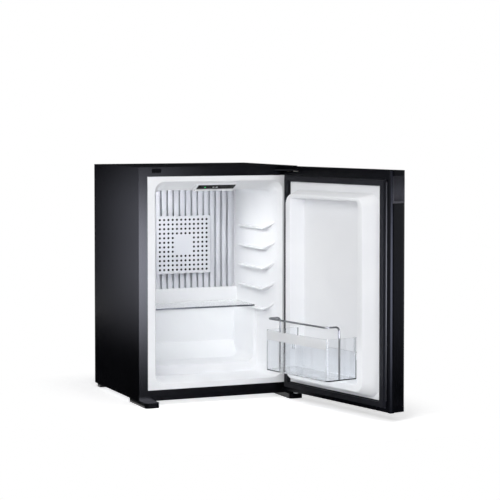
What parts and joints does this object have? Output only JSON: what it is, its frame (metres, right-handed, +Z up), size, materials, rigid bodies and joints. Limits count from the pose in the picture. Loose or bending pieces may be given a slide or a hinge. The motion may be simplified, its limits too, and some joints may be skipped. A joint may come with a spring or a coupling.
{
  "type": "minibar fridge",
  "caption": "Free-standing hotel minibar fridge with an open hinged door, a glass shelf, a clear door rack and an absorption cooling unit at the back.",
  "frame": {"origin": "on the floor under the middle of the cabinet's footprint", "axes": "+Z up, -Y towards the front and the user, +X to the right, where the door's hinge is"},
  "size_m": [0.4762, 0.7879, 0.553],
  "materials": {
    "black_steel": "satin black coating",
    "black_plastic": "satin black moulding",
    "black_rubber": "matt black seal",
    "white_liner": "satin white moulding",
    "foam": "closed-cell foam",
    "pale_aluminium": "pale satin coating",
    "dark_gloss": "gloss black",
    "key_grey": "grey",
    "green_lamp": "lit green",
    "light_lens": "milky",
    "bright_steel": "plated",
    "white_bush": "natural",
    "clear_glass": "polished",
    "clear_plastic": "clear moulding",
    "grey_paint": "dark grey paint",
    "zinc_sheet": "galvanised"
  },
  "bodies": {
    "cabinet": {"cabinet_wrapper": "black_steel", "base_panel": "zinc_sheet", "rear_panel": "zinc_sheet", "cabinet_insulation": "foam", "inner_liner": "white_liner", "front_frame_top": "black_plastic", "front_frame_bottom": "black_plastic", "front_frame_left": "black_plastic", "front_frame_right": "black_plastic", "hinge_hole_plug": "black_plastic", "cooling_fin_plate": "pale_aluminium", "fin_cover": "pale_aluminium", "control_housing": "white_liner", "control_strip": "dark_gloss", "status_led": "green_lamp", "light_lens": "light_lens", "front_foot_left": "black_plastic", "hinge_foot_right": "black_plastic", "rear_feet": "black_plastic", "top_hinge_bracket": "black_steel", "top_hinge_pin": "bright_steel", "bottom_hinge_pin": "bright_steel", "hinge_screws": "black_steel", "evaporator_block": "pale_aluminium", "boiler_case": "zinc_sheet", "absorber_vessel": "grey_paint", "absorber_coil": "grey_paint", "condenser_tube": "grey_paint", "condenser_fins": "grey_paint", "unit_brackets": "zinc_sheet", "electronics_box": "black_plastic", "mains_inlet": "black_plastic", "drip_tray": "white_bush", "drain_spout": "white_bush"},
    "door": {"door_outer_panel": "black_steel", "door_inner_frame": "black_plastic", "door_grip": "black_plastic", "door_top_cap": "black_plastic", "door_bottom_cap": "black_plastic", "door_insulation": "foam", "door_liner": "white_liner", "door_gasket": "black_rubber", "top_hinge_bush": "white_bush", "bottom_hinge_bush": "white_bush"},
    "rack": {"rack_tray": "clear_plastic", "rack_guard_rail": "bright_steel"},
    "shelf": {"glass_shelf": "clear_glass"},
    "key_left_body": {"key_left": "key_grey"},
    "key_right_body": {"key_right": "key_grey"}
  },
  "joints": [
    {"name": "door_hinge", "type": "hinge", "parent": "cabinet", "child": "door", "pos_m": [0.1824, -0.1982, 0], "axis": [0, 0, 1], "range_deg": [-101.5, 18.5]},
    {"name": "rack_lift", "type": "slide", "parent": "door", "child": "rack", "axis": [0, 0, 1], "range_m": [0, 0.025]},
    {"name": "shelf_slide", "type": "slide", "parent": "cabinet", "child": "shelf", "axis": [0, -1, 0], "range_m": [0, 0.024]},
    {"name": "key_left_press", "type": "slide", "parent": "cabinet", "child": "key_left_body", "axis": [0, 0.4728, 0.8812], "range_m": [0, 0.0004], "stiffness_N_per_m": 500},
    {"name": "key_right_press", "type": "slide", "parent": "cabinet", "child": "key_right_body", "axis": [0, 0.4728, 0.8812], "range_m": [0, 0.0004], "stiffness_N_per_m": 500}
  ]
}
